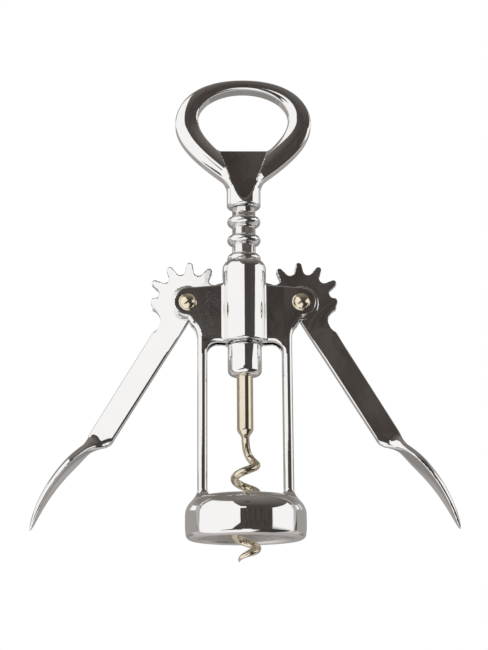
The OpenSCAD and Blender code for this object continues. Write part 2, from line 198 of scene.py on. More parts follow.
def plated(name, colour, shade, roughness, stretch=(1, 1, 1), ripple=0.05):
    """Polished plating: a mirror with faint haze, casting ripple, fine scratches and specks of wear."""
    material = bpy.data.materials.new(name)
    material.use_nodes = True
    tree = material.node_tree
    tree.nodes.clear()
    spot = node(tree, "ShaderNodeTexCoord").outputs["Object"]
    haze = node(tree, "ShaderNodeTexNoise", Vector=spot, Scale=140.0, Detail=4.0).outputs[0]
    wide = node(tree, "ShaderNodeMapping", Vector=spot, Scale=stretch)
    scratch = node(tree, "ShaderNodeTexNoise", Vector=wide.outputs[0], Scale=2600.0, Detail=3.0,
                   Roughness=0.7).outputs[0]
    scratch = maths(tree, "POWER", scratch, 5.0)
    swell = node(tree, "ShaderNodeTexNoise", Vector=spot, Scale=230.0, Detail=1.0).outputs[0]
    specks = node(tree, "ShaderNodeTexVoronoi", Vector=spot, Scale=520.0).outputs["Distance"]
    specks = maths(tree, "LESS_THAN", specks, 0.055)
    rough = maths(tree, "MULTIPLY_ADD", haze, roughness, roughness * 0.5)
    rough = maths(tree, "MULTIPLY_ADD", scratch, 0.25, rough)
    rough = maths(tree, "MULTIPLY_ADD", specks, 0.12, rough)
    # a mix node's colours are its inputs 6 and 7, and the mixed colour is its output 2
    tint = node(tree, "ShaderNodeMix", Factor=haze)
    tint.data_type = "RGBA"
    tint.inputs[6].default_value = (*colour, 1)
    tint.inputs[7].default_value = (*shade, 1)
    height = maths(tree, "ADD", swell, maths(tree, "MULTIPLY", scratch, 0.06))
    height = maths(tree, "MULTIPLY_ADD", specks, -0.05, height)
    bump = node(tree, "ShaderNodeBump", Strength=ripple, Distance=0.0002, Height=height)
    metal = node(tree, "ShaderNodeBsdfPrincipled", Base_Color=tint.outputs[2], Metallic=1.0,
                 Roughness=rough, Normal=bump.outputs[0])
    out = node(tree, "ShaderNodeOutputMaterial", Surface=metal.outputs[0])
    out.is_active_output = True
    return material


def satin_and_painted_light(material, *zones):
    """Leaves the plating satin inside each zone's radius and below its height, where nothing is polished,
    and paints light there: a lighter, pinker colour that brightens these shaded places.
    """
    tree = material.node_tree
    metal = next(n for n in tree.nodes if n.type == "BSDF_PRINCIPLED")
    spot = node(tree, "ShaderNodeTexCoord").outputs["Object"]
    level = node(tree, "ShaderNodeVectorMath", Vector=spot)
    level.operation = "MULTIPLY"
    level.inputs[1].default_value = (1, 1, 0)
    radius = node(tree, "ShaderNodeVectorMath", Vector=level.outputs[0])
    radius.operation = "LENGTH"
    height = node(tree, "ShaderNodeSeparateXYZ", Vector=spot).outputs[2]
    satin_and_light_mask = 0.0
    for reach, top in zones:
        zone = maths(tree, "MULTIPLY", maths(tree, "LESS_THAN", radius.outputs["Value"], reach),
                     maths(tree, "LESS_THAN", height, top))
        satin_and_light_mask = maths(tree, "MAXIMUM", zone, satin_and_light_mask)
    # the lighter, pinker base colour is painted light, brightening the shaded rim and pocket
    for name, value in (("Roughness", 0.5), ("Base Color", (0.97, 0.945, 0.935, 1))):
        made = node(tree, "ShaderNodeMix", Factor=satin_and_light_mask)
        made.data_type = "RGBA" if name == "Base Color" else "FLOAT"
        low, high, out = (6, 7, 2) if name == "Base Color" else (2, 3, 0)
        tree.links.new(metal.inputs[name].links[0].from_socket, made.inputs[low])
        made.inputs[high].default_value = value
        tree.links.new(made.outputs[out], metal.inputs[name])


def give(piece, material, body, slot, *nodes):
    """Puts a material on a piece, ties the piece to its body and hides the solids it stands for. The slot is
    not used.
    """
    piece.data.materials.clear()
    piece.data.materials.append(material)
    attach(piece, body)
    if nodes:
        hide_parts(*nodes)


def bell(radius, z):
    """The bell, drawn in a little at its foot, with the bottle's pocket and the worm's way."""
    side = BELL_R - 0.55 * np.clip((5 - z) / 5, 0, 1) ** 2
    solid = cut(cut(radius - side, z - BELL_H, BELL_ROUND), 0.02 - z, 1.6)
    pocket = cut(radius - POCKET_R, z - POCKET_DEPTH, 2.5)
    return cut(cut(solid, -pocket, 1.1), WORM_WAY_R - radius, 1.0)


def frame_shape(x, y, z):
    """Distance field of the whole frame, the same on both sides and front to back."""
    a, b = np.abs(x), np.abs(y)
    radius = np.hypot(x, y)
    # the barrel is slightly deeper than it is wide
    barrel = np.hypot(x, np.maximum(b - 1.5, 0)) - BARREL_R
    barrel = cut(cut(barrel, z - BARREL_TOP, 3.4), BARREL_FOOT - z, 0.8)
    # ear plates, web and legs share one outline in X and Z, with sloping edges scaled to true distance
    top = (z - PLATE_TOP + 0.085 * a) / 1.0036
    hollow = np.hypot(a - (LEG_OUT + HOLLOW_R), np.maximum(z - HOLLOW_Z, 0)) - HOLLOW_R
    shoulder = (a - LEG_OUT - 0.441 * np.clip(z - HOLLOW_Z, 0, 7.6)) / 1.09
    window_x, window_z = a - CORNER_X, z - CORNER_Z
    window = np.hypot(np.maximum(window_x, 0), np.maximum(window_z, 0)) - CORNER_R
    window = window + np.minimum(np.maximum(window_x, window_z), 0)
    ear = np.hypot(a - PIVOT_X, z - PIVOT_Z - 0.05) - EAR_R
    outline = join(np.maximum(np.maximum(top, -hollow), shoulder), ear, 0.3)
    outline = np.maximum(outline, -window)
    # the plates thicken upwards from the legs, and a little towards the ears
    depth = PLATE_HALF + 0.48 * ease((z - 64) / 7)
    depth = depth + 0.012 * np.clip(a - 14, 0, 12) * ease((z - 68) / 5)
    edge = 1.5 - 1.05 * ease((z - 75) / 5)
    u, v = np.maximum(outline + edge, 0), np.maximum(b - depth + edge, 0)
    sides = np.minimum(np.maximum(outline, b - depth), -edge) + np.hypot(u, v)
    sides = np.maximum(sides, LEG_FOOT - z)
    solid = join(barrel, sides, 0.7)
    # slot for the levers, open through the sides of the barrel
    slot = np.maximum(np.maximum(b - SLOT_HALF, SLOT_FOOT - z), z - SLOT_TOP)
    solid = cut(solid, -slot, 0.3)
    solid = join(solid, bell(radius, z), 2.4)
    bore = np.maximum(radius - BORE_R, BORE_FOOT - z)
    solid = cut(solid, -bore, 0.6)
    return np.maximum(solid, PIN_HOLE_R - np.hypot(a - PIVOT_X, z - PIVOT_Z))


frame_chrome = plated("frame_chrome", (0.93, 0.925, 0.92), (0.88, 0.875, 0.865), 0.035)
# the rim that the bell stands on, and the inside of its pocket: satin, with a lighter colour that is painted
# light over their shade
satin_and_painted_light(frame_chrome, ((BELL_R + 0.65) * MM, 0.7 * MM), ((POCKET_R + 0.5) * MM, (POCKET_DEPTH + 0.9) * MM))
casting = cast("frame_casting", frame_shape, (-26.5, -21.6, -0.6), (26.5, 21.6, 99.8), 0.42)
give(casting, frame_chrome, "frame", "frame_chrome", "frame")

# ---------------------------------------------------------------------------
# Levers: a toothed sector, a tapering arm and a curved paddle in one plated casting.
# Each turns on its rivet between the ear plates, its teeth between the rack's rings.
# ---------------------------------------------------------------------------

# degrees: the arm's turn at rest, the step from tooth to tooth, and where the short tooth is
ARM_TURN = -58.5
TOOTH = 30
FIRST = 2.4 - ARM_TURN
DISC_R, SHORT_R = 12.7, 11.6
# a tooth's middle line, from its root to the middle of its round tip
ROOT_R, TIP_R = 10.5, 13.88
ARM_LEN, ARM_MID, ARM_LOW, ARM_HIGH = 56.9, 0.47, -3.68, 5.22
# the round hollow where the arm leaves the gear: how far out from the pivot and below it at rest
NOTCH_OUT, NOTCH_DOWN, NOTCH_R = 14.2, 6.3, 4.5
LEVER_HALF, BOSS_HALF, BOSS_R, LEVER_HOLE_R = 1.85, 2.02, 6.1, 1.86
# the paddle's angle at its root, the angle of its arc and that arc's radius
PADDLE_KICK, PADDLE_SWEEP, PADDLE_BEND = 26.2, 42, 54.7
# half its width at the root, what that grows by to the widest place, and half its thickness
PADDLE_NECK, PADDLE_FLARE, PADDLE_HALF = 1.8, 6.2, 1.75


def gear_outline(u, v):
    """Sector with seven teeth and a short one, and round hollows between them."""
    reach = np.hypot(u, v)
    angle = np.degrees(np.arctan2(v, u))
    count = (np.mod(angle - FIRST + 60, 360) - 60) / TOOTH
    turn = np.radians(np.clip(np.round(count), 1, 7) * TOOTH + FIRST)
    along, across = u * np.cos(turn) + v * np.sin(turn), v * np.cos(turn) - u * np.sin(turn)
    on = np.clip(along, ROOT_R, TIP_R)
    teeth = np.hypot(across, along - on) - (1.12 + 0.2 * (TIP_R - on))
    short = np.radians(FIRST)
    teeth = np.minimum(teeth, np.hypot(u - SHORT_R * np.cos(short), v - SHORT_R * np.sin(short)) - 1.5)
    turn = np.radians((np.clip(np.round(count - 0.5), 0, 7) + 0.5) * TOOTH + FIRST)
    valley = np.hypot(u - DISC_R * np.cos(turn), v - DISC_R * np.sin(turn)) - 1.95
    low, high = np.radians(FIRST - 46), np.radians(FIRST + 7 * TOOTH + 11)
    sector = -np.maximum(v * np.cos(low) - u * np.sin(low), u * np.sin(high) - v * np.cos(high))
    disc = np.maximum(np.maximum(reach - DISC_R, sector), -valley)
    return join(disc, np.maximum(teeth, -valley), 0.3)


def lever_shape(u, v, y):
    """Distance field of one lever in its own plane, with the arm along U from the pivot."""
    b = np.abs(y)
    turn = np.radians(ARM_TURN)
    notch_u = NOTCH_OUT * np.cos(turn) - NOTCH_DOWN * np.sin(turn)
    notch_v = -NOTCH_OUT * np.sin(turn) - NOTCH_DOWN * np.cos(turn)
    arm = np.maximum(np.maximum(ARM_LOW - v, v - ARM_HIGH + 0.0105 * u), -u)
    boss = np.hypot(u, v) - BOSS_R
    outline = np.minimum(join(gear_outline(u, v), boss, 0.4), arm)
    outline = np.maximum(outline, NOTCH_R - np.hypot(u - notch_u, v - notch_v))
    # the casting's draft: its face falls away towards the outer edge
    thin = LEVER_HALF - (0.011 + 0.03 * ease((u - 5) / 8)) * (v - ARM_LOW)
    edge = 0.22 + 0.45 * ease((u - 12) / 10)
    plate = cut(outline, b - thin, edge)
    plate = np.minimum(plate, cut(boss, b - BOSS_HALF, 0.15))
    # the paddle follows an arc that turns back towards the arm's line
    kick, arc_angle = np.radians(PADDLE_KICK), np.radians(PADDLE_SWEEP)
    du = u - ARM_LEN - PADDLE_BEND * np.sin(kick)
    dv = v - ARM_MID + PADDLE_BEND * np.cos(kick)
    s = (kick - np.arctan2(-du, dv)) / arc_angle
    off = np.hypot(du, dv) - PADDLE_BEND
    t = np.clip(s, 0, 1)
    # it widens over its first third, then narrows to a point with a rounded end
    end = np.sqrt(np.maximum(1 - t ** 7, 0.004))
    half_w = PADDLE_NECK + PADDLE_FLARE * ease(t / 0.34)
    half_w = half_w * (1 - 0.72 * (np.clip(t - 0.36, 0, 1) / 0.64) ** 1.25) * end
    root = np.where(off > 0, 2.7, 1.9) * np.clip(1 - t / 0.15, 0, 1) ** 1.3
    half_t = (PADDLE_HALF * (1 - 0.35 * t) + root) * end
    past = np.maximum((s - 1) * PADDLE_BEND * arc_angle - 0.4, 0)
    # its outer face is crowned and its inner face nearly flat
    inner_t = half_t * (1 - 0.62 * ease(t / 0.3))
    e = off + half_t - inner_t
    deep = np.where(e > 0, 2 * half_t - inner_t, inner_t)
    q = ((np.abs(e) / deep) ** 2.8 + (b / half_w) ** 2.8) ** (1 / 2.8)
    paddle = (q - 1) * np.minimum(deep, half_w)
    paddle = np.hypot(np.maximum(paddle, 0), past) + np.minimum(paddle, 0)
    # arm and paddle pass into each other along a slanting line
    over = ease(((u - ARM_LEN) - 0.265 * (v - ARM_MID)) / 4.2 + 0.42)
    solid = plate * (1 - over) + paddle * over
    return cut(solid, LEVER_HOLE_R - np.hypot(u, v), 0.2)


def lever_place(side):
    """From the lever's own plane, arm along U, to its place on one side of the frame."""
    c, s = math.cos(math.radians(ARM_TURN)), math.sin(math.radians(ARM_TURN))
    return Matrix(((side * c, side * -s, 0, side * PIVOT_X), (0, 0, 1, 0),
                   (s, c, 0, PIVOT_Z), (0, 0, 0, 1)))


lever_chrome = plated("lever_chrome", (0.93, 0.925, 0.92), (0.89, 0.88, 0.87), 0.03)
for side, name in ((-1, "left_lever"), (1, "right_lever")):
    lever = cast(name + "_casting", lever_shape, (-15.6, -15.6, -8.8), (98.5, 15.6, 8.8), 0.34,
                 lever_place(side))
    give(lever, lever_chrome, name, "lever_chrome", name)

# ---------------------------------------------------------------------------
# Rivets: pale brass-plated pins, domed at both ends, that the levers turn on.
# Their shanks pass through both ear plates.
# ---------------------------------------------------------------------------


def rule(name, sizes):
    """A geometry tree with a named input for each size, and those inputs' sockets."""
    tree = bpy.data.node_groups.new(name, "GeometryNodeTree")
    tree.interface.new_socket("Geometry", in_out="OUTPUT", socket_type="NodeSocketGeometry")
    for key in sizes:
        kind = "NodeSocketInt" if isinstance(sizes[key], int) else "NodeSocketFloat"
        tree.interface.new_socket(key, in_out="INPUT", socket_type=kind)
    tree.interface.new_socket("Finish", in_out="INPUT", socket_type="NodeSocketMaterial")
    return tree, tree.nodes.new("NodeGroupInput").outputs


def deliver(tree, geometry, finish):
    """Ends a geometry tree: real mesh, smooth, with its finish."""
    whole = node(tree, "GeometryNodeRealizeInstances", Geometry=geometry)
    smooth = node(tree, "GeometryNodeSetShadeSmooth", Geometry=whole.outputs[0])
    done = node(tree, "GeometryNodeSetMaterial", Geometry=smooth.outputs[0], Material=finish)
    tree.links.new(done.outputs[0], tree.nodes.new("NodeGroupOutput").inputs[0])


def grow(name, tree, sizes, material):
    """The plain mesh that a geometry tree makes with some sizes."""
    piece = bpy.data.objects.new(name, bpy.data.meshes.new(name))
    bpy.context.collection.objects.link(piece)
    modifier = piece.modifiers.new("rule", "NODES")
    modifier.node_group = tree
    for item in tree.interface.items_tree:
        if item.in_out == "INPUT":
            modifier[item.identifier] = material if item.name == "Finish" else sizes[item.name]
    ready = piece.evaluated_get(bpy.context.evaluated_depsgraph_get())
    mesh = bpy.data.meshes.new_from_object(ready)
    piece.modifiers.clear()
    piece.data = mesh
    return piece


def points_along(tree, count, place):
    """A curve through points that a rule places by their share of the way."""
    line = node(tree, "GeometryNodeMeshLine", Count=count)
    share = maths(tree, "DIVIDE", node(tree, "GeometryNodeInputIndex").outputs[0], count - 1.0)
    spots = node(tree, "ShaderNodeCombineXYZ")
    for socket, value in zip(spots.inputs, place(share)):
        tree.links.new(value, socket)
    moved = node(tree, "GeometryNodeSetPosition", Geometry=line.outputs[0], Position=spots.outputs[0])
    return node(tree, "GeometryNodeMeshToCurve", Mesh=moved.outputs[0]).outputs[0]


def place_on(tree, axis):
    """One coordinate of a path's points, with 0, 1 and 2 for X, Y and Z."""
    spot = node(tree, "GeometryNodeInputPosition").outputs[0]
    return node(tree, "ShaderNodeSeparateXYZ", Vector=spot).outputs[axis]


def sweep(tree, path, radius, sides):
    """A closed round bar along a curve, with a radius that may change on the way."""
    ring = node(tree, "GeometryNodeCurvePrimitiveCircle", Resolution=sides, Radius=1.0)
    return node(tree, "GeometryNodeCurveToMesh", Curve=path, Profile_Curve=ring.outputs[0], Scale=radius,
                Fill_Caps=True).outputs[0]


sizes = {"Pivot X": PIVOT_X * MM, "Pivot Z": PIVOT_Z * MM, "Plate": 3.93 * MM, "Shank": 1.8 * MM,
         "Head": 3.25 * MM, "Rise": 2.4 * MM}
tree, size = rule("rivet_rule", sizes)
tip = maths(tree, "ADD", size["Plate"], size["Rise"])


def pin(share):
    """The pin's axis from front to back, with its points closer together at both ends."""
    turn = maths(tree, "MULTIPLY", maths(tree, "SUBTRACT", share, 0.5), math.pi)
    return size["Pivot X"], maths(tree, "MULTIPLY", maths(tree, "SINE", turn), tip), size["Pivot Z"]


path = points_along(tree, 161, pin)
proud = maths(tree, "SUBTRACT", maths(tree, "ABSOLUTE", place_on(tree, 1)), size["Plate"])
# the dome is part of a ball
ball = maths(tree, "MULTIPLY_ADD", size["Rise"], size["Rise"],
             maths(tree, "MULTIPLY", size["Head"], size["Head"]))
ball = maths(tree, "DIVIDE", ball, maths(tree, "MULTIPLY", size["Rise"], 2.0))
level = maths(tree, "SUBTRACT", maths(tree, "ADD", proud, ball), size["Rise"])
dome = maths(tree, "SUBTRACT", maths(tree, "MULTIPLY", ball, ball), maths(tree, "MULTIPLY", level, level))
dome = maths(tree, "SQRT", maths(tree, "MAXIMUM", dome, 1e-10))
head = maths(tree, "GREATER_THAN", proud, 0.0)
shank = maths(tree, "MULTIPLY", maths(tree, "SUBTRACT", 1.0, head), size["Shank"])
deliver(tree, sweep(tree, path, maths(tree, "MULTIPLY_ADD", head, dome, shank), 64), size["Finish"])

rivet_brass = plated("rivet_brass", (0.95, 0.88, 0.71), (0.74, 0.65, 0.47), 0.15, ripple=0.12)
for side, name in ((-1, "left_rivet"), (1, "right_rivet")):
    sizes["Pivot X"] = side * PIVOT_X * MM
    give(grow(name + "_pin", tree, sizes, rivet_brass), rivet_brass, "frame", "rivet_brass", name)

# ---------------------------------------------------------------------------
# Rack: a plated sleeve with seven rounded rings, which slides in the barrel's bore.
# The gear teeth stand between its rings.
# ---------------------------------------------------------------------------

sizes = {"Bottom": 68.85 * MM, "Top": 118.8 * MM, "Core": 4.2 * MM, "Bore": 2.56 * MM, "Rings": 7,
         "First ring": 113.7 * MM, "Pitch": 6.9 * MM, "Ring middle": 4.297 * MM, "Ring": 1.7 * MM}
tree, size = rule("rack_rule", sizes)
# the sleeve: its wall's section swept round the axis
wall = maths(tree, "SUBTRACT", size["Core"], size["Bore"])
middle = maths(tree, "MULTIPLY", maths(tree, "ADD", size["Core"], size["Bore"]), 0.5)
section = node(tree, "GeometryNodeCurvePrimitiveQuadrilateral", Width=wall,
               Height=maths(tree, "SUBTRACT", size["Top"], size["Bottom"]))
section = node(tree, "GeometryNodeFilletCurve", Curve=section.outputs[0], Radius=0.0002)
round_path = node(tree, "GeometryNodeCurvePrimitiveCircle", Resolution=96, Radius=middle)
sleeve = node(tree, "GeometryNodeCurveToMesh", Curve=round_path.outputs[0], Profile_Curve=section.outputs[0])
half_way = maths(tree, "MULTIPLY", maths(tree, "ADD", size["Top"], size["Bottom"]), 0.5)
sleeve = node(tree, "GeometryNodeTransform", Geometry=sleeve.outputs[0],
              Translation=node(tree, "ShaderNodeCombineXYZ", Z=half_way).outputs[0])
# one ring, repeated down the sleeve
ring_path = node(tree, "GeometryNodeCurvePrimitiveCircle", Resolution=96, Radius=size["Ring middle"])
bead = node(tree, "GeometryNodeCurvePrimitiveCircle", Resolution=28, Radius=size["Ring"])
ring = node(tree, "GeometryNodeCurveToMesh", Curve=ring_path.outputs[0], Profile_Curve=bead.outputs[0])
step = node(tree, "ShaderNodeCombineXYZ", Z=maths(tree, "MULTIPLY", size["Pitch"], -1.0))
places = node(tree, "GeometryNodeMeshLine", Count=size["Rings"], Offset=step.outputs[0],
              Start_Location=node(tree, "ShaderNodeCombineXYZ", Z=size["First ring"]).outputs[0])
rings = node(tree, "GeometryNodeInstanceOnPoints", Points=places.outputs[0], Instance=ring.outputs[0])
both = tree.nodes.new("GeometryNodeJoinGeometry")
tree.links.new(sleeve.outputs[0], both.inputs[0])
tree.links.new(rings.outputs[0], both.inputs[0])
deliver(tree, both.outputs[0], size["Finish"])

rack_chrome = plated("rack_chrome", (0.92, 0.915, 0.91), (0.86, 0.85, 0.84), 0.045)
give(grow("rack_sleeve", tree, sizes, rack_chrome), rack_chrome, "rack", "rack_chrome", "rack")

# ---------------------------------------------------------------------------
# Spindle: a plain steel rod, ground smooth along its length, that runs inside the rack.
# It is fixed in the handle above and in the worm socket below, and turns with them.
# ---------------------------------------------------------------------------

spindle_steel = plated("spindle_steel", (0.66, 0.65, 0.64), (0.55, 0.54, 0.53), 0.2, (1, 1, 0.05))
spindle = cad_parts["spindle"]
spindle.data.materials.clear()
spindle.data.materials.append(spindle_steel)

# ---------------------------------------------------------------------------
# Worm socket: a turned cup under the rack, chromium plated like the frame.
# It is fixed on the spindle's foot and grips the worm's shank.
# ---------------------------------------------------------------------------


def lathe(name, profile, sides):
    """A turned piece from its outline, as pairs of radius and height in millimetres."""
    rows = len(profile)
    turns = np.arange(sides) * 2 * np.pi / sides
    radius, height = np.array(profile).T
    ring = np.stack([np.outer(radius, np.cos(turns)), np.outer(radius, np.sin(turns)),
                     np.repeat(height[:, None], sides, 1)], axis=-1).reshape(-1, 3)
    faces = [(i * sides + j, i * sides + (j + 1) % sides, (i + 1) * sides + (j + 1) % sides,
              (i + 1) * sides + j) for i in range(rows - 1) for j in range(sides)]
    mesh = bpy.data.meshes.new(name)
    mesh.from_pydata(ring * MM, [], faces)
    mesh.validate()
    shell = bmesh.new()
    shell.from_mesh(mesh)
    bmesh.ops.remove_doubles(shell, verts=shell.verts, dist=1e-7)
    bmesh.ops.recalc_face_normals(shell, faces=shell.faces)
    shell.to_mesh(mesh)
    shell.free()
    mesh.shade_smooth()
    piece = bpy.data.objects.new(name, mesh)
    bpy.context.collection.objects.link(piece)
    return piece


def arc(x, z, r, start, stop, steps=8):
    """Points on an arc, with angles in degrees."""
    return [(x + r * math.cos(math.radians(a)), z + r * math.sin(math.radians(a)))
            for a in np.linspace(start, stop, steps + 1)]


socket_chrome = plated("socket_chrome", (0.93, 0.925, 0.92), (0.88, 0.875, 0.865), 0.035)
# down the outside from the spindle's seat, and up again inside round the shank
profile = [(0, 68.0), (2.5, 68.0), (2.5, 68.65)]
profile += arc(5.0, 67.65, 1.0, 90, 0) + arc(4.0, 59.1, 2.0, 0, -90, 12)
profile += [(3.3, 57.1), (2.95, 57.3), (2.9, 57.6), (2.9, 61.6), (0, 61.6)]
socket = lathe("worm_socket_cup", profile, 96)
give(socket, socket_chrome, "handle", "socket_chrome", "worm_socket")

# ---------------------------------------------------------------------------
# Worm: steel wire wound to a right-handed helix under a straight shank, brass plated.
# The shank is fixed in the socket, and the point hangs below the bell.
# ---------------------------------------------------------------------------

sizes = {"Top": 61.5 * MM, "Shank end": 37.0 * MM, "Tip": -7.4 * MM, "Pitch": 9.5 * MM, "Mark": 25.7 * MM,
         "Reach": 3.8 * MM, "Shank radius": 2.87 * MM, "Wire radius": 1.4 * MM, "Run-in": 9.0 * MM,
         "Point": 3.4 * MM, "Shoulder": 3.0 * MM, "Shoulder drop": 1.8 * MM}
tree, size = rule("worm_rule", sizes)


def part(value, start, length, smooth=True):
    """0 to 1 as a value goes a length past its start."""
    gone = maths(tree, "DIVIDE", maths(tree, "SUBTRACT", value, start), length)
    made = node(tree, "ShaderNodeMapRange", Value=gone)
    made.interpolation_type = "SMOOTHSTEP" if smooth else "LINEAR"
    return made.outputs[0]


def winding(share):
    """The wire's middle line from the shank's top down to the point."""
    z = maths(tree, "MULTIPLY_ADD", share, maths(tree, "SUBTRACT", size["Tip"], size["Top"]), size["Top"])
    inward = part(z, maths(tree, "SUBTRACT", size["Shank end"], size["Run-in"]), size["Run-in"])
    out = maths(tree, "SUBTRACT", 1.0, inward)
    near_tip = maths(tree, "MULTIPLY", part(z, size["Tip"], size["Point"], False), 1.2)
    curl = maths(tree, "MULTIPLY_ADD", maths(tree, "MINIMUM", near_tip, 1.0), 0.4, 0.6)
    reach = maths(tree, "MULTIPLY", maths(tree, "MULTIPLY", size["Reach"], out), curl)
    turns = maths(tree, "DIVIDE", maths(tree, "SUBTRACT", z, size["Mark"]), size["Pitch"])
    wound = maths(tree, "MULTIPLY", turns, 2 * math.pi)
    # above the mark the wire comes in towards the shank without turning much further
    lead = math.radians(85)
    over = maths(tree, "DIVIDE", maths(tree, "MAXIMUM", wound, 0.0), -lead)
    settled = maths(tree, "MULTIPLY", maths(tree, "SUBTRACT", 1.0, maths(tree, "EXPONENT", over)), lead)
    turn = maths(tree, "ADD", maths(tree, "MINIMUM", wound, 0.0), settled)
    return (maths(tree, "MULTIPLY", reach, maths(tree, "COSINE", turn)),
            maths(tree, "MULTIPLY", reach, maths(tree, "SINE", turn)), z)


path = points_along(tree, 561, winding)
down = place_on(tree, 2)
thick = part(down, maths(tree, "SUBTRACT", size["Shank end"], size["Shoulder drop"]), size["Shoulder"])
extra = maths(tree, "SUBTRACT", size["Shank radius"], size["Wire radius"])
wire = maths(tree, "MULTIPLY_ADD", thick, extra, size["Wire radius"])
point = maths(tree, "POWER", part(down, size["Tip"], size["Point"], False), 0.75)
wire = maths(tree, "MULTIPLY", wire, maths(tree, "MULTIPLY_ADD", point, 0.92, 0.08))
deliver(tree, sweep(tree, path, wire, 20), size["Finish"])

worm_brass = plated("worm_brass", (0.93, 0.86, 0.71), (0.70, 0.61, 0.45), 0.04, ripple=0.08)
give(grow("worm_wire", tree, sizes, worm_brass), worm_brass, "handle", "worm_brass", "worm")

# ---------------------------------------------------------------------------
# Handle: neck, bow and cap lifter in one zinc casting, chromium plated.
# It is fixed on the spindle's top and turns the worm.
# ---------------------------------------------------------------------------

NECK_R, NECK_FOOT, NECK_TOP = 6.1, 119.0, 130
# half the width, the height of the widest place and the top, of the bow and of the opening in it
BOW_HALF, BOW_MID, BOW_TOP = 24.4, 149.8, 167.65
LOOP_HALF, LOOP_MID, LOOP_TOP = 16.8, 153.6, 164
# the circle that crowns the bow's faces, and how far beyond the bow's middle its own middle lies
CROWN_R, CROWN_BACK = 7.8, 4.3
LIFTER_FOOT, LIFTER_EDGE, LIFTER_FRONT = 126.5, 140.8, -5.6
# half the width of the lifter's flat at its foot, the height from which it widens, and half the web
LIFTER_HALF, LIFTER_OPEN, WEB_HALF = 4.9, 129.5, 1.6


def curve(points, t):
    """Points on a curve with four control points."""
    p = np.array(points, float)
    t = t[:, None]
    return ((1 - t) ** 3 * p[0] + 3 * t * (1 - t) ** 2 * p[1] + 3 * t * t * (1 - t) * p[2] + t ** 3 * p[3])


# outer and inner edges of the bow's right half, from the neck up to the top
t = np.linspace(0, 1, 60)
widest, top = (BOW_HALF, BOW_MID), (0, BOW_TOP)
outer = np.concatenate([curve([(NECK_R, 128.2), (11.5, 132.5), (BOW_HALF, 141), widest], t),
                        curve([widest, (BOW_HALF, 160.3), (14, BOW_TOP), top], t)[1:]])
widest, top = (LOOP_HALF, LOOP_MID), (0, LOOP_TOP)
inner = np.concatenate([curve([(1, 132.5), (10, 141), (LOOP_HALF, 146.8), widest], t),
                        curve([widest, (LOOP_HALF, 159.8), (10, LOOP_TOP), top], t)[1:]])
bow_line, bow_half = (outer + inner) / 2, np.linalg.norm(outer - inner, axis=1) / 2


def bow_fields(a, z):
    """Distance from the bow's middle line in its own plane, and the bow's half width there."""
    shape = np.broadcast(a, z).shape
    flat_a, flat_z = np.broadcast_to(a, shape).ravel(), np.broadcast_to(z, shape).ravel()
    best, width = np.full(flat_a.shape, 1e9), np.zeros(flat_a.shape)
    for i in range(len(bow_line) - 1):
        p, q = bow_line[i], bow_line[i + 1]
        d = q - p
        along = np.clip(((flat_a - p[0]) * d[0] + (flat_z - p[1]) * d[1]) / (d @ d), 0, 1)
        away = np.hypot(flat_a - p[0] - along * d[0], flat_z - p[1] - along * d[1])
        closer = away < best
        best = np.where(closer, away, best)
        width = np.where(closer, bow_half[i] + along * (bow_half[i + 1] - bow_half[i]), width)
    return best.reshape(shape), width.reshape(shape)


def handle_shape(x, y, z):
    """Distance field of the handle, with the cap lifter on its front."""
    a, b = np.abs(x), np.abs(y)
    away, width = bow_fields(a, z)
    # the bow is crowned front and back
    crown = np.hypot(away, b + CROWN_BACK) - CROWN_R
    bow = cut(crown, away - width, 0.7)
    neck_top = NECK_TOP + 4.5 * ease(-y / 4)
    neck = cut(cut(np.hypot(x, y) - NECK_R, NECK_FOOT - z, 1.0), z - neck_top, 2.5)
    solid = join(bow, neck, 2.5)
    # a thin web and a block on the front fill the bow's foot up to the lifter's edge
    web = np.maximum(np.maximum(b - WEB_HALF, z - LIFTER_EDGE), LIFTER_FOOT - z)
    web = np.maximum(web, (a - 5 - 0.65 * (z - LIFTER_FOOT)) * 0.84)
    solid = join(solid, web, 0.5)
    wide = a - LIFTER_HALF - 0.345 * np.maximum(z - LIFTER_OPEN, 0)
    front = np.maximum(np.maximum(LIFTER_FRONT - y, y), np.maximum(LIFTER_FOOT - z, z - LIFTER_EDGE))
    solid = np.minimum(solid, np.maximum(front, wide + 0.3))
    # the cap lifter's sloping flat
    face = (y + 6.1 - 0.257 * (z - 120.5)) / 1.0325
    notch = np.maximum(np.maximum(face, wide), z - 144)
    return cut(solid, -notch, 0.12)


handle_chrome = plated("handle_chrome", (0.93, 0.925, 0.92), (0.88, 0.87, 0.86), 0.035)
handle = cast("handle_bow", handle_shape, (-25.3, -7, 118.2), (25.3, 7, 168.6), 0.4)
give(handle, handle_chrome, "handle", "handle_chrome", "handle")

# ---------------------------------------------------------------------------
# Floor, light and camera: white paper under the worm's point, which fades at its edge.
# A white room with a dark card in front gives the plating what it reflects.
# ---------------------------------------------------------------------------

# metres: the paper's radius, and where and over what length it fades
FLOOR_R, FADE_FROM, FADE_OVER = 0.32, 0.2, 0.11
floor_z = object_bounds()[0].z - 0.2 * MM
rim = [(FLOOR_R * math.cos(math.radians(a)), FLOOR_R * math.sin(math.radians(a)), floor_z)
       for a in range(0, 360, 5)]
mesh = bpy.data.meshes.new("floor")
mesh.from_pydata(rim, [], [tuple(range(len(rim)))])
floor = bpy.data.objects.new("floor", mesh)
bpy.context.collection.objects.link(floor)
material = bpy.data.materials.new("floor_paper")
material.use_nodes = True
tree = material.node_tree
tree.nodes.clear()
spot = node(tree, "ShaderNodeTexCoord").outputs["Object"]
grain = node(tree, "ShaderNodeTexNoise", Vector=spot, Scale=300.0, Detail=3.0).outputs[0]
paper = node(tree, "ShaderNodeBsdfPrincipled", Base_Color=(0.9, 0.9, 0.9, 1), Roughness=0.9,
             Normal=node(tree, "ShaderNodeBump", Strength=0.05, Distance=0.0002, Height=grain).outputs[0])
clear = node(tree, "ShaderNodeBsdfTransparent")
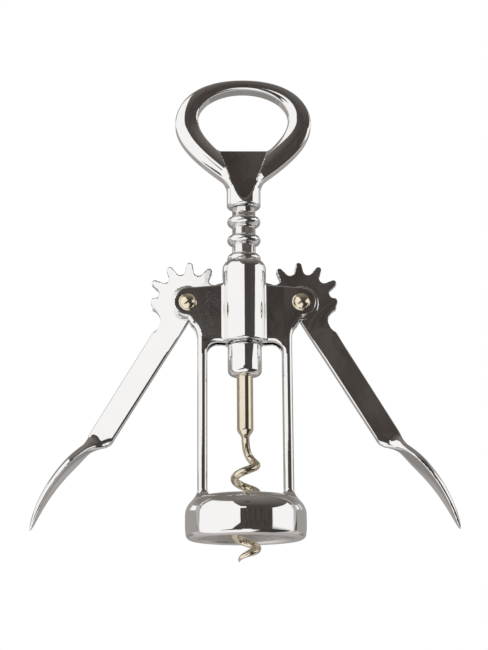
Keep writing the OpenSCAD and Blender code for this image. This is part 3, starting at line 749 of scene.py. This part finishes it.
# the paper isn't seen from below or in the plating, and thins out towards its edge
path = node(tree, "ShaderNodeLightPath").outputs
under = maths(tree, "MULTIPLY", node(tree, "ShaderNodeNewGeometry").outputs["Backfacing"],
              path["Is Camera Ray"])
away = node(tree, "ShaderNodeVectorMath", Vector=spot)
away.operation = "LENGTH"
fade = maths(tree, "DIVIDE", maths(tree, "SUBTRACT", away.outputs["Value"], FADE_FROM), FADE_OVER)
unseen = maths(tree, "MAXIMUM", under, path["Is Glossy Ray"])
fade = maths(tree, "MINIMUM", maths(tree, "MAXIMUM", fade, unseen), 1.0)
mixed = node(tree, "ShaderNodeMixShader", Fac=fade)
tree.links.new(paper.outputs[0], mixed.inputs[1])
tree.links.new(clear.outputs[0], mixed.inputs[2])
node(tree, "ShaderNodeOutputMaterial", Surface=mixed.outputs[0])
floor.data.materials.append(material)

world = bpy.data.worlds.new("studio")
bpy.context.scene.world = world
world.use_nodes = True
tree = world.node_tree
tree.nodes.clear()
way = node(tree, "ShaderNodeSeparateXYZ", Vector=node(tree, "ShaderNodeTexCoord").outputs["Generated"])
east, north, height = way.outputs
# degrees round from straight in front of the corkscrew, to the right, and degrees up
bearing = maths(tree, "DEGREES", maths(tree, "ARCTAN2", east, maths(tree, "MULTIPLY", north, -1.0)))
up = maths(tree, "DEGREES", maths(tree, "ARCSINE", height))


def past(value, start):
    """How far a value is beyond a start, and 0 before it."""
    return maths(tree, "MAXIMUM", maths(tree, "SUBTRACT", value, start), 0.0)


def band(value, start, stop, soft):
    """1 between start and stop, 0 outside, with soft edges."""
    rise = maths(tree, "SMOOTH_MIN", 1.0, maths(tree, "DIVIDE", past(value, start), soft), 0.1)
    fall = maths(tree, "SMOOTH_MIN", 1.0, maths(tree, "DIVIDE", past(stop, value), soft), 0.1)
    return maths(tree, "MULTIPLY", rise, fall)


def blend(below, factor, above):
    """Lays one colour over another by a factor."""
    mix = node(tree, "ShaderNodeMix")
    mix.data_type = "RGBA"
    tree.links.new(factor, mix.inputs[0])
    for socket, value in ((mix.inputs[6], below), (mix.inputs[7], above)):
        if isinstance(value, bpy.types.NodeSocket):
            tree.links.new(value, socket)
        else:
            socket.default_value = (*value, 1)
    return mix.outputs[2]


# a white room in front and grey behind, which starts further round from 11 to 26 degrees up
around = maths(tree, "ABSOLUTE", bearing)
shift = maths(tree, "MULTIPLY", band(up, 11.5, 26, 1.5), -36.0)
behind = band(maths(tree, "ADD", around, shift), 97, 400, 7)
room = blend((1.0, 0.995, 0.99), behind, (0.36, 0.34, 0.325))
# high up behind, the grey is deeper
far = maths(tree, "MULTIPLY", behind, band(up, 22, 200, 14))
room = blend(room, far, (0.23, 0.21, 0.197))
# a dark seam on the right and a grey one on the left, where the white ends
seam = maths(tree, "MULTIPLY_ADD", shift, 0.55, bearing)
room = blend(room, band(seam, 104, 111, 2), (0.05, 0.043, 0.038))
room = blend(room, band(bearing, -108, -102, 2), (0.30, 0.28, 0.27))
# below the table's edge the room is grey behind, deeper just under the edge, and dark to the right
back_low = maths(tree, "MULTIPLY", band(up, -200, -2, 5), band(around, 100, 200, 10))
room = blend(room, back_low, (0.55, 0.52, 0.505))
under_edge = maths(tree, "MULTIPLY", band(up, -28, -3, 5), band(around, 125, 200, 10))
room = blend(room, under_edge, (0.26, 0.245, 0.237))
right_low = maths(tree, "MULTIPLY", band(up, -200, -4, 6), band(bearing, 18, 100, 12))
room = blend(room, right_low, (0.045, 0.04, 0.036))
# a dark card in front: its left edge steps in from 9 to 18 degrees up, and leans out at its foot
# and towards its top, where its right edge leans out too
left = maths(tree, "MULTIPLY_ADD", band(up, 9.2, 200, 0.6), 10.8, -12.0)
left = maths(tree, "MULTIPLY_ADD", band(up, 18.4, 200, 1.6), -10.5, left)
left = maths(tree, "MULTIPLY_ADD", past(up, 20), -0.7, left)
left = maths(tree, "MULTIPLY_ADD", past(0.0, up), -1.6, left)
right = maths(tree, "MULTIPLY_ADD", past(up, 12), 2.0, 51.0)
card = maths(tree, "MULTIPLY", band(maths(tree, "SUBTRACT", bearing, left), 0, 400, 0.6),
             band(maths(tree, "SUBTRACT", right, bearing), 0, 400, 2.5))
card = maths(tree, "MULTIPLY", card, band(up, -32, 200, 6))
# a white sheet stands before its foot
sheet = maths(tree, "MULTIPLY", band(up, -90, -15, 3), band(bearing, -11, 12, 4))
card = maths(tree, "MULTIPLY", card, maths(tree, "SUBTRACT", 1.0, sheet))
# a brown ceiling
room = blend(room, band(up, 48, 200, 6), (0.19, 0.172, 0.16))
# the card's cloth is streaked, and lighter towards its top but for one knot
grain = node(tree, "ShaderNodeMapping", Vector=node(tree, "ShaderNodeTexCoord").outputs["Generated"],
             Scale=(1, 1, 0.3))
streak = node(tree, "ShaderNodeTexNoise", Vector=grain.outputs[0], Scale=55.0, Detail=2.0).outputs[0]
streak = maths(tree, "MINIMUM", maths(tree, "MULTIPLY", past(streak, 0.35), 2.2), 1.0)
dark = blend((0.042, 0.034, 0.030), streak, (0.105, 0.095, 0.087))
lit = maths(tree, "MINIMUM", maths(tree, "DIVIDE", past(up, 20), 52), 1.0)
knot = maths(tree, "MULTIPLY", band(bearing, -6, 11, 3), band(up, 44, 54, 3))
lit = maths(tree, "MULTIPLY", lit, maths(tree, "SUBTRACT", 1.0, knot))
dark = blend(dark, lit, (0.22, 0.198, 0.185))
room = blend(room, card, dark)
# the eye and the paper see plain white, only the plating sees the room
path = node(tree, "ShaderNodeLightPath").outputs
plain = maths(tree, "MAXIMUM", path["Is Camera Ray"], path["Is Diffuse Ray"])
seen = blend(room, plain, (1.0, 1.0, 1.0))
back = node(tree, "ShaderNodeBackground", Color=seen, Strength=1.0)
node(tree, "ShaderNodeOutputWorld", Surface=back.outputs[0])

# the camera stands half a metre in front and low down, and looks up by 14 degrees
camera = bpy.data.objects.new("camera", bpy.data.cameras.new("camera"))
bpy.context.collection.objects.link(camera)
camera.data.lens = 80.69
camera.data.sensor_width = 36
camera.data.clip_start = 0.01
camera.location = (-0.01344, -0.49983, -0.05)
aim = Euler((math.radians(90 + 14.11), 0, math.radians(-1.52))).to_matrix()
camera.rotation_euler = (aim @ Matrix.Rotation(math.radians(-0.4), 3, "Z")).to_euler()
bpy.context.scene.camera = camera
bpy.context.scene.view_settings.view_transform = "Standard"
